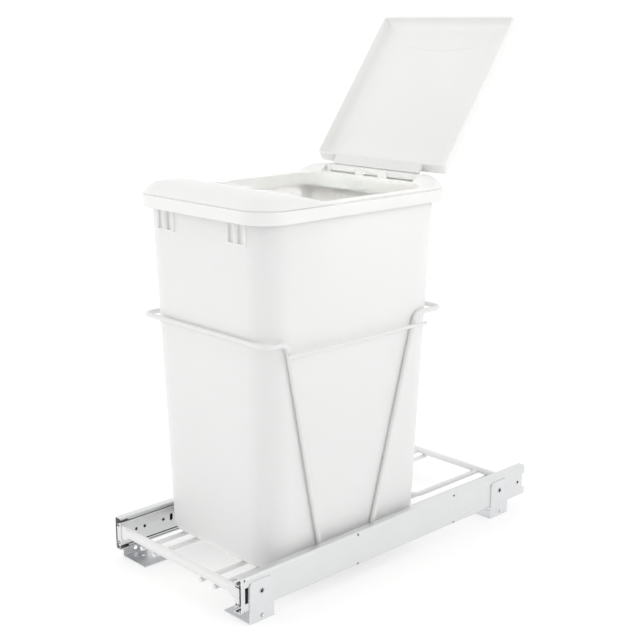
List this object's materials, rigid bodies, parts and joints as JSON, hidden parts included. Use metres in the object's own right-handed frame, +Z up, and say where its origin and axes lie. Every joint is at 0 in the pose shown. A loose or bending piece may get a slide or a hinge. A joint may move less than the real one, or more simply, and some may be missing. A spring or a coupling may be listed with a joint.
{
  "type": "pull-out waste bin",
  "caption": "Floor-mounted pull-out waste bin: a white plastic bin with a hinged lid in a wire carrier on full-extension ball slides.",
  "frame": {"origin": "centre of the bounding box footprint, on the floor that the brackets stand on", "axes": "+Z up; -Y is the front, the way the tray pulls out; +X is to the right seen from the front"},
  "size_m": [0.27, 0.5588, 0.7218],
  "materials": {
    "bin_plastic": "smooth satin white",
    "lid_plastic": "smooth satin white",
    "wire_white": "white powder coat",
    "slide_zinc": "bright zinc plate",
    "bracket_zinc": "bluish zinc plate",
    "steel": "bright steel",
    "cage_plastic": "dark moulded retainer",
    "bumper_rubber": "soft black"
  },
  "bodies": {
    "cabinet_side": {"bracket_front_right": "bracket_zinc", "bracket_front_left": "bracket_zinc", "bracket_rear_right": "bracket_zinc", "bracket_rear_left": "bracket_zinc", "bracket_eyelets": "steel", "cabinet_member_right": "slide_zinc", "cabinet_member_left": "slide_zinc", "slide_bumpers": "bumper_rubber"},
    "middle": {"middle_member_right": "slide_zinc", "middle_member_left": "slide_zinc"},
    "outer_race": {"outer_cages": "cage_plastic", "outer_balls": "steel"},
    "inner_race": {"inner_cages": "cage_plastic", "inner_balls": "steel"},
    "tray": {"drawer_member_right": "slide_zinc", "drawer_member_left": "slide_zinc", "front_bar": "wire_white", "rear_bar": "wire_white", "base_wires": "wire_white", "stop_wire": "wire_white", "front_hoop": "wire_white", "rear_hoop": "wire_white", "side_rods": "wire_white"},
    "waste_bin": {"bin": "bin_plastic"},
    "frame": {"lid_frame": "lid_plastic", "hinge_pin": "steel"},
    "hinged_lid": {"lid": "lid_plastic"}
  },
  "joints": [
    {"name": "tray_slide", "type": "slide", "parent": "cabinet_side", "child": "tray", "axis": [0, -1, 0], "range_m": [0, 0.508]},
    {"name": "middle_slide", "type": "slide", "parent": "cabinet_side", "child": "middle", "axis": [0, -1, 0], "range_m": [0, 0.254]},
    {"name": "outer_race_slide", "type": "slide", "parent": "cabinet_side", "child": "outer_race", "axis": [0, -1, 0], "range_m": [0, 0.127]},
    {"name": "inner_race_slide", "type": "slide", "parent": "cabinet_side", "child": "inner_race", "axis": [0, -1, 0], "range_m": [0, 0.381]},
    {"name": "bin_lift", "type": "slide", "parent": "tray", "child": "waste_bin", "axis": [0, 0, 1], "range_m": [0, 0.48]},
    {"name": "frame_lift", "type": "slide", "parent": "waste_bin", "child": "frame", "axis": [0, 0, 1], "range_m": [0, 0.06]},
    {"name": "lid_hinge", "type": "hinge", "parent": "frame", "child": "hinged_lid", "pos_m": [0, 0.079, 0.5115], "axis": [1, 0, 0], "range_deg": [0, 123.8]}
  ],
  "couplings": [
    {"joint": "middle_slide", "follows": "tray_slide", "ratio": 0.5},
    {"joint": "outer_race_slide", "follows": "tray_slide", "ratio": 0.25},
    {"joint": "inner_race_slide", "follows": "tray_slide", "ratio": 0.75}
  ]
}
